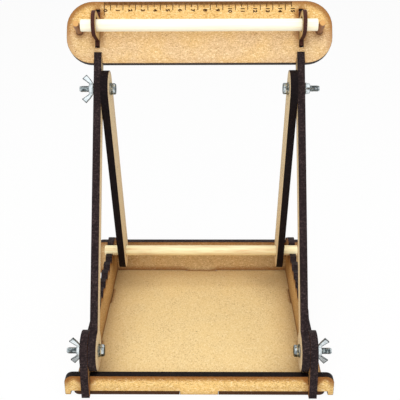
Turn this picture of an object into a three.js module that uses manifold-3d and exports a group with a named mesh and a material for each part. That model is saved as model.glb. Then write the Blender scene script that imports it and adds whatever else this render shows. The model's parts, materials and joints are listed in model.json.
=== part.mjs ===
// A tabletop frame for knotting cord, cut from flat board and bolted together.
// A tray base with toothed side rails carries a leaning frame with a ruled head board
// and a working dowel. A pair of struts props the frame: their dowel drops into the teeth.
// Millimetres, +X right, +Y back, +Z up. The origin is on the ground under the middle
// of the base. Base lengths count back from the front face of the front board.
import * as THREE from 'three';
import { mergeVertices } from 'three/addons/utils/BufferGeometryUtils.js';
import Module from 'manifold-3d';

const wasm = await Module();
wasm.setup();

// Sheet stock and fits
const SHEET = 6; // rails, boards, uprights, struts and head board
const THIN_SHEET = 3; // floor panel and ears
const GAP = 0.3; // clearance between pieces that meet
const ARC_STEP = 10; // degrees to a facet on round outlines
const HARDWARE_FACETS = 24;
const MERGE_DISTANCE = 1e-4; // corners closer than this are one
const EASED_CORNER = 1; // light rounding of feet, forks and hooks

// Base: two cross boards and a floor panel
const BASE_DEPTH = 198.6; // front face of the front board to back face of the rear board
const BOARD_END = 13.4; // cross board past the outer face of a rail
const FRONT_BOARD_TOP = 17.1;
const REAR_BOARD_TOP = 34.6;
const BOARD_CORNER = 6;
const BOARD_FOOT = 4.5; // width of the foot at each end of a cross board
const FLOOR_MARGIN = 7.2; // floor panel past the outer face of a rail
const FLOOR_CORNER = 5;
const BOARD_TAB = 30; // length of the tab in the middle of a cross board
const RAIL_TAB = 24; // length of each of the two tabs under a rail
const RAIL_TAB_INSET = 38; // cross board to the near end of a rail's tab

// Side rails with their row of notches
const RAIL_FOOT_REACH = 5; // how far the feet stand out past the cross boards
const RAIL_FOOT_SHOULDER = 16; // height where the front foot starts to lean back
const RAIL_WAIST = 32.5; // top of the plain stretch behind the front ear
const RAIL_OVER_BOARD = 2.4; // rail above the rear board
const TOOTH_TOP = 37.4;
const REAR_EAR_RISE = 6.7; // rear ear above the teeth
const REAR_EAR_LENGTH = 14;
const NOTCH_COUNT = 7;
const NOTCH_PITCH = 15.7;
const NOTCH_INSET = 25.4; // rear notch to the rear board
const NOTCH_LIFT = 1.2; // middle of a dowel in its notch above the teeth
const RAIL_END_CORNER = 7;
const REAR_EAR_CORNER = 5;
const NOTCH_LIP_CORNER = 3; // top of the rear ear, over the rear notch
const RACK_END_CORNER = 1.5;
const RACK_END_RUN = 5; // slope from the last tooth down to the waist
const WAIST_FILLET = 4;
const FOOT_FILLET = 6;
const FOOT_MEETS_EAR = 190; // degrees round the front ear where the foot's slope leaves it

// Leaning frame
const UPRIGHT_SPACING = 161; // between the middles of the two uprights
const PIVOT_Y = 13;
const DISC_CLEARANCE = 0.3; // round foot of an upright to the top of the front board
const PIVOT_DISC_R = 15.8; // round foot of an upright and round front ear of a rail
const UPRIGHT_WIDTH = 11.6;
const UPRIGHT_PIVOT_LENGTH = 205.5; // lower bolt to upper bolt
const STRUT_LENGTH = 180.8; // upper bolt to rear dowel
const STRUT_WIDTH = 29;
const STRUT_TAIL = 2; // how much more board there is below the dowel than a round end gives

// Head board, ears, dowels and pegs
const HEAD_END = 10.5; // middle of a peg to the end of the head board
const HEAD_HEIGHT = 50.6;
const HEAD_CORNER = 21;
const PIVOT_TO_HEAD = 20.1; // upper bolt to the bottom edge of the head board
const HEAD_NOTCH = 4; // how deep the head board's own notches reach over the uprights
const FORK_REACH = 8.5; // how far the forks grip up the head board
const SLOT_LENGTH = 31.5; // slot that an ear is hooked through
const SLOT_START = 12.6; // head board's bottom edge to the slot
const SLOT_PLAY = 0.25;
const DOWEL_R = 4.75;
const FRONT_DOWEL_PROUD = 9.5; // front dowel past the outer face of an ear
const REAR_DOWEL_PROUD = 1.7; // rear dowel past the outer face of a rail
const DOWEL_REACH = 15.5; // head board's face to the middle of the front dowel
const DOWEL_RISE = 25.75; // head board's bottom edge to the middle of the front dowel
const EAR_OUTSET = 0.75; // middle of an ear out from the middle of its upright
const EAR_R = 10.15; // round front of an ear
const EAR_FORWARD = 1.9; // middle of that round in front of the dowel
const EAR_LIFT = 0.75; // middle of that round above the dowel
const EAR_ROOT = 7.65; // middle of the dowel down to the ear's underside at the board
const TENON_TOP = 16.65; // middle of the dowel up to the top of the ear's tenon
const TENON_BOTTOM = 11.65; // middle of the dowel down to the bottom of that tenon
const EAR_HOLE_R = 5.6;
const EAR_TAIL = 3.7; // length of the ear's hook behind the head board
const EAR_HOOK = 3; // drop of that hook
const EAR_TAIL_CORNER = 1.5;
const PEG_R = 2.5;
const PEG_REACH = 20;
const PEG_PLAY = 0.75; // end of the front dowel to a peg
const DOWEL_CHAMFER = 0.5;

// Hardware: hexagon bolt, washer and wing nut
const BOLT_R = 2.5;
const BOLT_LENGTH = 25.6;
const BOLT_CHAMFER = 0.5;
const BOLT_HEAD_FLATS = 8;
const BOLT_HEAD_HEIGHT = 3.3;
const WASHER_R = 5;
const WASHER_THICKNESS = 0.8;
const NUT_BASE_R = 4.8;
const NUT_TOP_R = 3.9;
const NUT_HEIGHT = 4;
const WING_SPAN = 21.8;
const WING_TIP_LOW = 5.9; // base of the nut to the outermost corner of a wing
const WING_HEIGHT = 8.9;
const WING_TIP_SLANT = 3.2; // outermost corner in to the highest corner
const WING_TIP_CORNER = 0.8;
const WING_THICKNESS = 1.5;
const WING_ROOT_LOW = 0.3;
const WING_ROOT_DEPTH = 0.8; // how far a wing reaches into the hub
const WING_ROOT_DROP = 0.3; // top of a wing's root below the top of the hub

// Places worked out from the sizes
const floorTop = THIN_SHEET;
const restZ = floorTop + GAP; // underside of what stands on the floor panel
const uprightX = UPRIGHT_SPACING / 2;
const railX = uprightX + SHEET + GAP;
const strutX = uprightX - SHEET - GAP;
const railOuter = railX + SHEET / 2;
const boardEnd = railOuter + BOARD_END;
const earX = uprightX + EAR_OUTSET;
const frontDowelHalf = earX + THIN_SHEET / 2 + FRONT_DOWEL_PROUD;
const rearDowelHalf = railOuter + REAR_DOWEL_PROUD;
const pegX = frontDowelHalf + PEG_PLAY + PEG_R;
const headEnd = pegX + HEAD_END;
const headStart = UPRIGHT_PIVOT_LENGTH + PIVOT_TO_HEAD;
const railRearTop = REAR_BOARD_TOP + RAIL_OVER_BOARD;
const rearEarTop = TOOTH_TOP + REAR_EAR_RISE;
const rearNotchY = BASE_DEPTH - SHEET - NOTCH_INSET;
const notchZ = TOOTH_TOP + NOTCH_LIFT;
const frontLap = (restZ + FRONT_BOARD_TOP) / 2;
const rearLap = (restZ + REAR_BOARD_TOP) / 2;
const lapSlot = SHEET + 2 * GAP;
const boltHoleR = BOLT_R + GAP;
const dowelHoleR = DOWEL_R + GAP;
const baseMiddleY = BASE_DEPTH / 2;

// The lower bolts sit as low as the round feet of the uprights clear the front board
const discDrop = Math.sqrt(Math.max(0, PIVOT_DISC_R ** 2 - (PIVOT_Y - SHEET) ** 2));
const pivotZ = FRONT_BOARD_TOP + DISC_CLEARANCE + discDrop;

// The triangle of lower bolt, upper bolt and rear dowel sets how far the frame leans
const notchRun = rearNotchY - PIVOT_Y;
const notchRise = notchZ - pivotZ;
const notchReach = Math.hypot(notchRun, notchRise);
const angleBetween = (a, b, opposite) => Math.acos((a * a + b * b - opposite * opposite) / (2 * a * b));
const pivotAngle = angleBetween(UPRIGHT_PIVOT_LENGTH, notchReach, STRUT_LENGTH);
const lean = Math.PI / 2 - Math.atan2(notchRise, notchRun) - pivotAngle;
const strutAngle = angleBetween(UPRIGHT_PIVOT_LENGTH, STRUT_LENGTH, notchReach);

// Outline helpers. Every outline runs anticlockwise.
const radians = THREE.MathUtils.degToRad;

function arc(x, y, radius, from, to) {
  const steps = Math.max(2, Math.ceil(Math.abs(to - from) / ARC_STEP));
  return Array.from({ length: steps + 1 }, (_, i) => {
    const angle = radians(from + ((to - from) * i) / steps);
    return [x + radius * Math.cos(angle), y + radius * Math.sin(angle)];
  });
}

// A corner [x, y, radius] is rounded, one without a radius stays sharp
function outline(corners) {
  const points = [];
  const count = corners.length;
  corners.forEach(([x, y, radius = 0], i) => {
    const here = new THREE.Vector2(x, y);
    if (radius === 0) {
      points.push(here);
      return;
    }
    const last = new THREE.Vector2(...corners[(i + count - 1) % count]);
    const next = new THREE.Vector2(...corners[(i + 1) % count]);
    const back = last.sub(here).normalize();
    const ahead = next.sub(here).normalize();
    const half = back.angleTo(ahead) / 2;
    const middle = back.clone().add(ahead).normalize();
    const centre = here.clone().addScaledVector(middle, radius / Math.sin(half));
    const start = here.clone().addScaledVector(back, radius / Math.tan(half)).sub(centre);
    const sweep = (Math.PI - 2 * half) * Math.sign(ahead.cross(back));
    const steps = Math.max(2, Math.ceil(THREE.MathUtils.radToDeg(Math.abs(sweep)) / ARC_STEP));
    for (let step = 0; step <= steps; step += 1) {
      const turned = start.clone().rotateAround(new THREE.Vector2(), (sweep * step) / steps);
      points.push(centre.clone().add(turned));
    }
  });
  return new THREE.Shape(points);
}

function addHole(shape, points) {
  shape.holes.push(new THREE.Path(points.map(([x, y]) => new THREE.Vector2(x, y))));
}

function addRoundHole(shape, x, y, radius) {
  addHole(shape, arc(x, y, radius, 0, 360).slice(0, -1));
}

const extrude = (shape, depth) => new THREE.ExtrudeGeometry(shape, { depth, bevelEnabled: false });

// A plate drawn in Y and Z, its thickness along X and centred
function sidePlate(shape, thickness) {
  const plate = extrude(shape, thickness);
  plate.translate(0, 0, -thickness / 2);
  return plate.rotateX(Math.PI / 2).rotateZ(Math.PI / 2);
}

// Stands a flat plate up in X and Z, its front face at Y = 0 and its thickness going back
function standUp(plate, thickness) {
  return plate.translate(0, 0, -thickness).rotateX(Math.PI / 2);
}

// A round bar along X, centred, with lightly chamfered ends
function dowel(radius, length) {
  const half = length / 2;
  const face = radius - DOWEL_CHAMFER;
  const shoulder = half - DOWEL_CHAMFER;
  const profile = [
    [0, -half], [face, -half], [radius, -shoulder],
    [radius, shoulder], [face, half], [0, half],
  ];
  return lathe(profile, 360 / ARC_STEP).rotateZ(-Math.PI / 2);
}

function lathe(profile, segments) {
  return new THREE.LatheGeometry(profile.map(([x, y]) => new THREE.Vector2(x, y)), segments);
}

// Joining and cutting
function solid(geometry) {
  const bare = geometry.index ? geometry.toNonIndexed() : geometry;
  bare.deleteAttribute('normal');
  bare.deleteAttribute('uv');
  const merged = mergeVertices(bare, MERGE_DISTANCE);
  const vertProperties = new Float32Array(merged.attributes.position.array);
  const kept = [];
  const { array } = merged.index;
  for (let i = 0; i < array.length; i += 3) {
    const [a, b, c] = array.slice(i, i + 3);
    if (a !== b && b !== c && c !== a) kept.push(a, b, c);
  }
  const triVerts = new Uint32Array(kept);
  return new wasm.Manifold(new wasm.Mesh({ numProp: 3, vertProperties, triVerts }));
}

function geometryOf(manifold) {
  const { vertProperties, triVerts } = manifold.getMesh();
  const geometry = new THREE.BufferGeometry();
  geometry.setAttribute('position', new THREE.BufferAttribute(vertProperties, 3));
  geometry.setIndex(new THREE.BufferAttribute(triVerts, 1));
  geometry.computeVertexNormals();
  return geometry;
}

// A plate drawn flat, with straight slots and round holes cut right through it
function cutPlate(shape, thickness, cutters) {
  let plate = solid(extrude(shape, thickness));
  for (const cutter of cutters) {
    plate = plate.subtract(solid(cutter));
  }
  return geometryOf(plate);
}

function slotCutter(x, y, width, height, thickness) {
  const cutter = new THREE.BoxGeometry(width, height, 3 * thickness);
  return cutter.translate(x, y, thickness / 2);
}

function holeCutter(x, y, radius, thickness) {
  const cutter = new THREE.CylinderGeometry(radius, radius, 3 * thickness, 360 / ARC_STEP);
  return cutter.rotateX(Math.PI / 2).translate(x, y, thickness / 2);
}

// Finishes, one material to a mesh
const boardFinish = () => new THREE.MeshStandardMaterial({ color: 0xc9a06a, roughness: 0.75, metalness: 0 });
const dowelFinish = () => new THREE.MeshStandardMaterial({ color: 0xf1dfb4, roughness: 0.6, metalness: 0 });
const zincFinish = () => new THREE.MeshStandardMaterial({ color: 0xbfc6c8, roughness: 0.3, metalness: 1 });

function piece(name, geometry, material, place = [0, 0, 0]) {
  const mesh = new THREE.Mesh(geometry, material);
  mesh.name = name;
  mesh.position.set(...place);
  return mesh;
}

// Cross boards: a foot at each end, a tab in the middle and a lap slot for each rail
function crossBoard(top, lap) {
  const end = boardEnd;
  const tab = BOARD_TAB / 2 - GAP;
  const slotOut = railX + lapSlot / 2;
  const slotIn = railX - lapSlot / 2;
  const slotBottom = lap - GAP / 2;
  const corner = Math.min(BOARD_CORNER, end - slotOut, top - lap);
  const footIn = end - BOARD_FOOT;
  const shape = outline([
    [-end, 0, EASED_CORNER], [-footIn, 0, EASED_CORNER], [-footIn, restZ], [-tab, restZ],
    [-tab, 0], [tab, 0], [tab, restZ], [footIn, restZ], [footIn, 0, EASED_CORNER],
    [end, 0, EASED_CORNER], [end, top, corner],
    [slotOut, top], [slotOut, slotBottom], [slotIn, slotBottom], [slotIn, top],
    [-slotIn, top], [-slotIn, slotBottom], [-slotOut, slotBottom], [-slotOut, top],
    [-end, top, corner],
  ]);
  return standUp(extrude(shape, SHEET), SHEET);
}

// Floor panel: open notches for the boards' tabs and closed slots for the rails' tabs
const railTabs = [SHEET + RAIL_TAB_INSET, BASE_DEPTH - SHEET - RAIL_TAB_INSET - RAIL_TAB];

function floorPanel() {
  const side = railOuter + FLOOR_MARGIN;
  const tab = BOARD_TAB / 2;
  const notch = SHEET + GAP;
  const shape = outline([
    [-side, 0, FLOOR_CORNER], [-tab, 0], [-tab, notch], [tab, notch], [tab, 0], [side, 0, FLOOR_CORNER],
    [side, BASE_DEPTH, FLOOR_CORNER], [tab, BASE_DEPTH], [tab, BASE_DEPTH - notch],
    [-tab, BASE_DEPTH - notch], [-tab, BASE_DEPTH], [-side, BASE_DEPTH, FLOOR_CORNER],
  ]);
  const cutters = [-railX, railX].flatMap((x) => railTabs.map((start) => {
    const middle = start + RAIL_TAB / 2;
    return slotCutter(x, middle, lapSlot, RAIL_TAB + 2 * GAP, THIN_SHEET);
  }));
  return cutPlate(shape, THIN_SHEET, cutters);
}

// Side rail: foot, lap slots, floor tabs, rear ear, row of notches and round front ear
function sideRail() {
  const rearFace = BASE_DEPTH - SHEET;
  const rearEnd = BASE_DEPTH + RAIL_FOOT_REACH;
  const mouth = Math.asin(NOTCH_LIFT / dowelHoleR);
  const mouthDegrees = THREE.MathUtils.radToDeg(mouth);
  const earFront = rearNotchY + dowelHoleR;
  const earBack = earFront + REAR_EAR_LENGTH;
  const earSlope = rearEarTop - railRearTop;
  const notches = [];
  for (let i = 0; i < NOTCH_COUNT; i += 1) {
    const start = i === 0 ? 0 : -mouthDegrees;
    notches.push(...arc(rearNotchY - i * NOTCH_PITCH, notchZ, dowelHoleR, start, mouthDegrees - 180));
  }
  const rackEnd = rearNotchY - NOTCH_COUNT * NOTCH_PITCH + dowelHoleR * Math.cos(mouth);
  const waistAngle = THREE.MathUtils.radToDeg(Math.asin((RAIL_WAIST - pivotZ) / PIVOT_DISC_R));
  const tabs = railTabs.flatMap((start) => {
    const end = start + RAIL_TAB;
    return [[start, restZ], [start, 0], [end, 0], [end, restZ]];
  });
  const shape = outline([
    [-RAIL_FOOT_REACH, 0, EASED_CORNER], [-GAP, 0], [-GAP, frontLap + GAP / 2],
    [SHEET + GAP, frontLap + GAP / 2], [SHEET + GAP, restZ], ...tabs,
    [rearFace - GAP, restZ], [rearFace - GAP, rearLap + GAP / 2], [BASE_DEPTH + GAP, rearLap + GAP / 2],
    [BASE_DEPTH + GAP, 0], [rearEnd, 0, EASED_CORNER], [rearEnd, railRearTop, RAIL_END_CORNER],
    [earBack + earSlope / 2, railRearTop, REAR_EAR_CORNER], [earBack, rearEarTop, REAR_EAR_CORNER],
    [earFront, rearEarTop, NOTCH_LIP_CORNER], ...notches,
    [rackEnd, TOOTH_TOP, RACK_END_CORNER], [rackEnd - RACK_END_RUN, RAIL_WAIST, WAIST_FILLET],
    ...arc(PIVOT_Y, pivotZ, PIVOT_DISC_R, waistAngle, FOOT_MEETS_EAR),
    [-RAIL_FOOT_REACH, RAIL_FOOT_SHOULDER, FOOT_FILLET],
  ]);
  addRoundHole(shape, PIVOT_Y, pivotZ, boltHoleR);
  return sidePlate(shape, SHEET);
}

// Upright, drawn with its lower bolt at zero: round foot, straight bar and a fork on top
function upright() {
  const half = UPRIGHT_WIDTH / 2;
  const grip = SHEET / 2 + GAP;
  const forkTop = headStart + FORK_REACH;
  const forkBottom = headStart + HEAD_NOTCH - GAP;
  const side = THREE.MathUtils.radToDeg(Math.acos(half / PIVOT_DISC_R));
  const shape = outline([
    [half, forkTop, EASED_CORNER], [grip, forkTop], [grip, forkBottom], [-grip, forkBottom],
    [-grip, forkTop], [-half, forkTop, EASED_CORNER],
    ...arc(0, 0, PIVOT_DISC_R, 180 - side, 360 + side),
  ]);
  addRoundHole(shape, 0, 0, boltHoleR);
  addRoundHole(shape, 0, UPRIGHT_PIVOT_LENGTH, boltHoleR);
  return sidePlate(shape, SHEET);
}

// Strut, drawn with its bolt at zero and its dowel hole below
function strut() {
  const radius = STRUT_WIDTH / 2;
  const endRound = -STRUT_LENGTH - STRUT_TAIL;
  const shape = outline([
    ...arc(0, 0, radius, 0, 180), ...arc(0, endRound, radius, 180, 360),
  ]);
  addRoundHole(shape, 0, 0, boltHoleR);
  addRoundHole(shape, 0, -STRUT_LENGTH, dowelHoleR);
  return sidePlate(shape, SHEET);
}

// Head board, drawn from its bottom edge: lap notches, ear slots and peg holes
function headBoard() {
  const end = headEnd;
  const notchOut = uprightX + lapSlot / 2;
  const notchIn = uprightX - lapSlot / 2;
  const corner = Math.min(HEAD_CORNER, end - notchOut, HEAD_HEIGHT / 2);
  const shape = outline([
    [-end, 0, corner], [-notchOut, 0], [-notchOut, HEAD_NOTCH], [-notchIn, HEAD_NOTCH], [-notchIn, 0],
    [notchIn, 0], [notchIn, HEAD_NOTCH], [notchOut, HEAD_NOTCH], [notchOut, 0], [end, 0, corner],
    [end, HEAD_HEIGHT, corner], [-end, HEAD_HEIGHT, corner],
  ]);
  const slotWidth = THIN_SHEET + 2 * SLOT_PLAY;
  const slotMiddle = SLOT_START + SLOT_LENGTH / 2;
  const cutters = [-1, 1].flatMap((side) => [
    slotCutter(side * earX, slotMiddle, slotWidth, SLOT_LENGTH, SHEET),
    holeCutter(side * pegX, DOWEL_RISE, PEG_R + GAP, SHEET),
  ]);
  return standUp(cutPlate(shape, SHEET, cutters), SHEET);
}

// Ear, drawn with the dowel at zero and the head board behind it. Its hole is large,
// so the dowel lies at the bottom of it. A taller tenon fills the board's slot and ends
// in a tail that hooks down behind the board.
function ear() {
  const shoulder = DOWEL_REACH + GAP;
  const boardBack = DOWEL_REACH + SHEET + GAP;
  const tailEnd = boardBack + EAR_TAIL;
  const hookEnd = -TENON_BOTTOM - EAR_HOOK;
  const shape = outline([
    ...arc(-EAR_FORWARD, EAR_LIFT, EAR_R, 90, 270), [shoulder, -EAR_ROOT], [shoulder, -TENON_BOTTOM],
    [boardBack, -TENON_BOTTOM], [boardBack, hookEnd], [tailEnd, hookEnd, EASED_CORNER],
    [tailEnd, TENON_TOP, EAR_TAIL_CORNER], [shoulder, TENON_TOP], [shoulder, EAR_LIFT + EAR_R],
  ]);
  addRoundHole(shape, 0, EAR_HOLE_R - DOWEL_R - GAP, EAR_HOLE_R);
  return sidePlate(shape, THIN_SHEET);
}

// Bolt along +X with the underside of its head at zero: chamfered hexagon and shank
function bolt() {
  const cornerR = BOLT_HEAD_FLATS / Math.sqrt(3);
  const bevel = cornerR - BOLT_HEAD_FLATS / 2;
  const hexagon = new THREE.CylinderGeometry(cornerR, cornerR, BOLT_HEAD_HEIGHT, 6);
  hexagon.translate(0, -BOLT_HEAD_HEIGHT / 2, 0);
  const crown = lathe([
    [0, -BOLT_HEAD_HEIGHT], [cornerR - bevel, -BOLT_HEAD_HEIGHT],
    [cornerR + bevel, -BOLT_HEAD_HEIGHT + bevel],
    [cornerR + bevel, bevel], [0, bevel],
  ], HARDWARE_FACETS);
  const sunk = BOLT_HEAD_HEIGHT / 2;
  const shank = lathe([
    [0, -sunk], [BOLT_R, -sunk], [BOLT_R, BOLT_LENGTH - BOLT_CHAMFER],
    [BOLT_R - BOLT_CHAMFER, BOLT_LENGTH], [0, BOLT_LENGTH],
  ], HARDWARE_FACETS);
  const whole = solid(hexagon).intersect(solid(crown)).add(solid(shank));
  return geometryOf(whole).rotateZ(-Math.PI / 2);
}

function washer() {
  const profile = [
    [boltHoleR, 0], [WASHER_R, 0], [WASHER_R, WASHER_THICKNESS],
    [boltHoleR, WASHER_THICKNESS], [boltHoleR, 0],
  ];
  return lathe(profile, HARDWARE_FACETS).rotateZ(-Math.PI / 2);
}

// Wing nut along +X with its base at zero and its wings along Z
function wingNut() {
  const tip = WING_SPAN / 2;
  const root = NUT_TOP_R - WING_ROOT_DEPTH;
  const wing = outline([
    [root, WING_ROOT_LOW], [NUT_TOP_R, WING_ROOT_LOW], [tip, WING_TIP_LOW, WING_TIP_CORNER],
    [tip - WING_TIP_SLANT, WING_HEIGHT, WING_TIP_CORNER], [root, NUT_HEIGHT - WING_ROOT_DROP],
  ]);
  const blade = extrude(wing, WING_THICKNESS);
  blade.translate(0, 0, -WING_THICKNESS / 2);
  const otherBlade = blade.clone().rotateY(Math.PI);
  const cone = [[0, 0], [NUT_BASE_R, 0], [NUT_TOP_R, NUT_HEIGHT], [0, NUT_HEIGHT]];
  const hub = lathe(cone, HARDWARE_FACETS);
  const bore = new THREE.CylinderGeometry(boltHoleR, boltHoleR, 3 * NUT_HEIGHT, HARDWARE_FACETS);
  const whole = solid(hub).add(solid(blade)).add(solid(otherBlade)).subtract(solid(bore));
  return geometryOf(whole).rotateZ(-Math.PI / 2).rotateX(Math.PI / 2);
}

// Turns a piece of hardware made along +X to point left or right
const sides = [{ name: 'left', sign: -1 }, { name: 'right', sign: 1 }];

function facing(geometry, sign) {
  return sign > 0 ? geometry : geometry.rotateZ(Math.PI);
}

// The bolt, washer and wing nut of one pivot, clamping plates that start at innerFace
function pivotHardware(level, side, innerFace, nutTurn, place) {
  const { name, sign } = side;
  const [, y, z] = place;
  const washerX = innerFace - GAP - WASHER_THICKNESS;
  const headX = washerX - GAP;
  const nutX = innerFace + 2 * SHEET + 2 * GAP;
  const nut = wingNut().rotateX(nutTurn);
  return [
    piece(`bolt_${level}_${name}`, facing(bolt(), sign), zincFinish(), [sign * headX, y, z]),
    piece(`washer_${level}_${name}`, facing(washer(), sign), zincFinish(), [sign * washerX, y, z]),
    piece(`wing_nut_${level}_${name}`, facing(nut, sign), zincFinish(), [sign * nutX, y, z]),
  ];
}

// Base group, in base lengths
const base = new THREE.Group();
base.position.y = -baseMiddleY;
base.add(piece('floor_panel', floorPanel(), boardFinish()));
base.add(piece('front_board', crossBoard(FRONT_BOARD_TOP, frontLap), boardFinish()));
const rearPlace = [0, BASE_DEPTH - SHEET, 0];
base.add(piece('rear_board', crossBoard(REAR_BOARD_TOP, rearLap), boardFinish(), rearPlace));

// Leaning frame group, with the lower bolts at zero
const frame = new THREE.Group();
frame.position.set(0, PIVOT_Y, pivotZ);
frame.rotation.x = -lean;
base.add(frame);

// Strut group, hung from the upper bolts
const struts = new THREE.Group();
struts.position.z = UPRIGHT_PIVOT_LENGTH;
struts.rotation.x = strutAngle;
frame.add(struts);

const dowelY = -SHEET / 2 - DOWEL_REACH;
const dowelZ = headStart + DOWEL_RISE;
const pegLength = PEG_REACH + SHEET;
const pegY = SHEET / 2 - pegLength / 2;
const uprightInner = uprightX - SHEET / 2;
const strutInner = strutX - SHEET / 2;

for (const side of sides) {
  const { name, sign } = side;
  base.add(piece(`rail_${name}`, sideRail(), boardFinish(), [sign * railX, 0, 0]));
  base.add(...pivotHardware('lower', side, uprightInner, 0, [0, PIVOT_Y, pivotZ]));
  frame.add(piece(`upright_${name}`, upright(), boardFinish(), [sign * uprightX, 0, 0]));
  const nutTurn = sign > 0 ? Math.PI / 2 : 0;
  frame.add(...pivotHardware('upper', side, strutInner, nutTurn, [0, 0, UPRIGHT_PIVOT_LENGTH]));
  frame.add(piece(`ear_${name}`, ear(), boardFinish(), [sign * earX, dowelY, dowelZ]));
  const peg = dowel(PEG_R, pegLength).rotateZ(Math.PI / 2);
  frame.add(piece(`peg_${name}`, peg, dowelFinish(), [sign * pegX, pegY, dowelZ]));
  struts.add(piece(`strut_${name}`, strut(), boardFinish(), [sign * strutX, 0, 0]));
}

frame.add(piece('head_board', headBoard(), boardFinish(), [0, -SHEET / 2, headStart]));
frame.add(piece('front_dowel', dowel(DOWEL_R, 2 * frontDowelHalf), dowelFinish(), [0, dowelY, dowelZ]));
struts.add(piece('rear_dowel', dowel(DOWEL_R, 2 * rearDowelHalf), dowelFinish(), [0, 0, -STRUT_LENGTH]));

const macrameFrame = new THREE.Group();
macrameFrame.add(base);

export default macrameFrame;
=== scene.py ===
# %% [markdown]
# # A tabletop frame for knotting cord
# This lesson dresses a finished CAD model with looks. The object is a tray with toothed rails
# that carries a leaning frame. A ruled head board and a working dowel sit on top of the frame.
# The boards are cut by laser from fibre board, so their faces are tan and their edges are burnt.
# The CAD model is loaded as it stands, and nothing here changes a size.

# %% Load the frame
import bpy
import json
import math
from mathutils import Matrix, Vector


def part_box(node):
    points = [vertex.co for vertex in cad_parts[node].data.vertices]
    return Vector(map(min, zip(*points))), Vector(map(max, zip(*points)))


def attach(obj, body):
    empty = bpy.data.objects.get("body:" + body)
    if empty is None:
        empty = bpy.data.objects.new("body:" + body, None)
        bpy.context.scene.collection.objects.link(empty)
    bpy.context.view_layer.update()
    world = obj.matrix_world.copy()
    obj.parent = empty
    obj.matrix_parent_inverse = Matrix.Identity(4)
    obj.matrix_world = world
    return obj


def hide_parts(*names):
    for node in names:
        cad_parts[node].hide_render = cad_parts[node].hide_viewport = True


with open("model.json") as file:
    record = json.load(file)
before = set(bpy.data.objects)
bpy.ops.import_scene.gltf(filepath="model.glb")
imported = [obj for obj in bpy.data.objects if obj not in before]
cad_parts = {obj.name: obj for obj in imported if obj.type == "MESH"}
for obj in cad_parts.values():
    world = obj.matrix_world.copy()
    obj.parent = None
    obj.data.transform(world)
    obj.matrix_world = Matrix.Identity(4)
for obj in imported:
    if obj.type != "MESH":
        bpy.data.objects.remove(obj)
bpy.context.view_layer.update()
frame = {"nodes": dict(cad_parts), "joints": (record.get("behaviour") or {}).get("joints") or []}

MM = 0.001


# %% [markdown]
# Two hinges tell how the frame stands. The line from the lower bolts to the upper bolts gives
# the lean. Every sloping piece is built upright first and then turned by this one angle.

# %% The lean of the frame
pivots = {joint["name"]: Vector(joint["pos_m"]) for joint in frame["joints"]}
lower_bolt = pivots["frame_tilt"]
upper_bolt = pivots["strut_swing"]
rise = upper_bolt - lower_bolt
lean = math.atan2(rise.y, rise.z)
lean_turn = Matrix.Rotation(-lean, 4, "X")
forward = lean_turn @ Vector((0, 1, 0))
upward = lean_turn @ Vector((0, 0, 1))
print("The frame leans", round(math.degrees(lean), 2), "degrees back")

# %% [markdown]
# ## Camera
# The photograph looks down on the object from the front. This place and angle come from the
# outlines of all pieces and from the centimetre scale on the head board.

# %% Camera
SENSOR = 36.0
FOCAL_PIXELS = 753.55
PICTURE_PIXELS = 400
NEAREST_SEEN = 10 * MM
CAMERA_PLACE = Vector((8.13, -571.89, 369.03)) * MM
CAMERA_PITCH = math.radians(23.4929)
CAMERA_YAW = math.radians(0.7886)
CAMERA_ROLL = math.radians(0.3305)

camera = bpy.data.objects.new("camera", bpy.data.cameras.new("camera"))
bpy.context.scene.collection.objects.link(camera)
camera.data.sensor_width = SENSOR
camera.data.lens = FOCAL_PIXELS * SENSOR / PICTURE_PIXELS
camera.data.clip_start = NEAREST_SEEN
camera.matrix_world = (
    Matrix.Translation(CAMERA_PLACE)
    @ Matrix.Rotation(CAMERA_YAW, 4, "Z")
    @ Matrix.Rotation(math.pi / 2 - CAMERA_PITCH, 4, "X")
    @ Matrix.Rotation(-CAMERA_ROLL, 4, "Z")
)
bpy.context.scene.camera = camera
print("Lens of", round(camera.data.lens, 1), "mm")

# %% [markdown]
# ## Tools for materials
# A shader is a small graph. These helpers add a node with its values in one line, and make a
# node group with named sockets, so that one effect serves several materials. An input may be a
# value or the output of another node.


# %% Helpers for nodes
def add_node(tree, kind, inputs=None, **settings):
    node = tree.nodes.new(kind)
    for name, value in settings.items():
        setattr(node, name, value)
    for name, value in (inputs or {}).items():
        if isinstance(value, bpy.types.NodeSocket):
            tree.links.new(value, node.inputs[name])
        else:
            node.inputs[name].default_value = value
    return node


def new_group(name, inputs, outputs):
    group = bpy.data.node_groups.new(name, "ShaderNodeTree")
    for title, (kind, default) in inputs.items():
        socket = group.interface.new_socket(name=title, in_out="INPUT", socket_type=kind)
        if default is not None:
            socket.default_value = default
    for title, kind in outputs.items():
        group.interface.new_socket(name=title, in_out="OUTPUT", socket_type=kind)
    return group, group.nodes.new("NodeGroupInput"), group.nodes.new("NodeGroupOutput")


# %% [markdown]
# Four kinds of node come up again and again: arithmetic, a soft fade from one value to another,
# noise, and a blend of two colours. Each gets a helper that returns its output.


# %% Helpers for the commonest nodes
def maths(tree, operation, first, second=0.0, third=0.0):
    node = add_node(tree, "ShaderNodeMath", {0: first, 1: second, 2: third}, operation=operation)
    return node.outputs[0]


def fade(tree, value, low, high, from_value=0.0, to_value=1.0):
    node = add_node(
        tree, "ShaderNodeMapRange",
        {"Value": value, "From Min": low, "From Max": high, "To Min": from_value, "To Max": to_value},
        interpolation_type="SMOOTHSTEP",
    )
    return node.outputs["Result"]


def blend_colours(tree, amount, first, second):
    node = add_node(tree, "ShaderNodeMix", data_type="RGBA")
    for socket, value in ((node.inputs[0], amount), (node.inputs[6], first), (node.inputs[7], second)):
        if isinstance(value, bpy.types.NodeSocket):
            tree.links.new(value, socket)
        else:
            socket.default_value = value
    return node.outputs[2]


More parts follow.
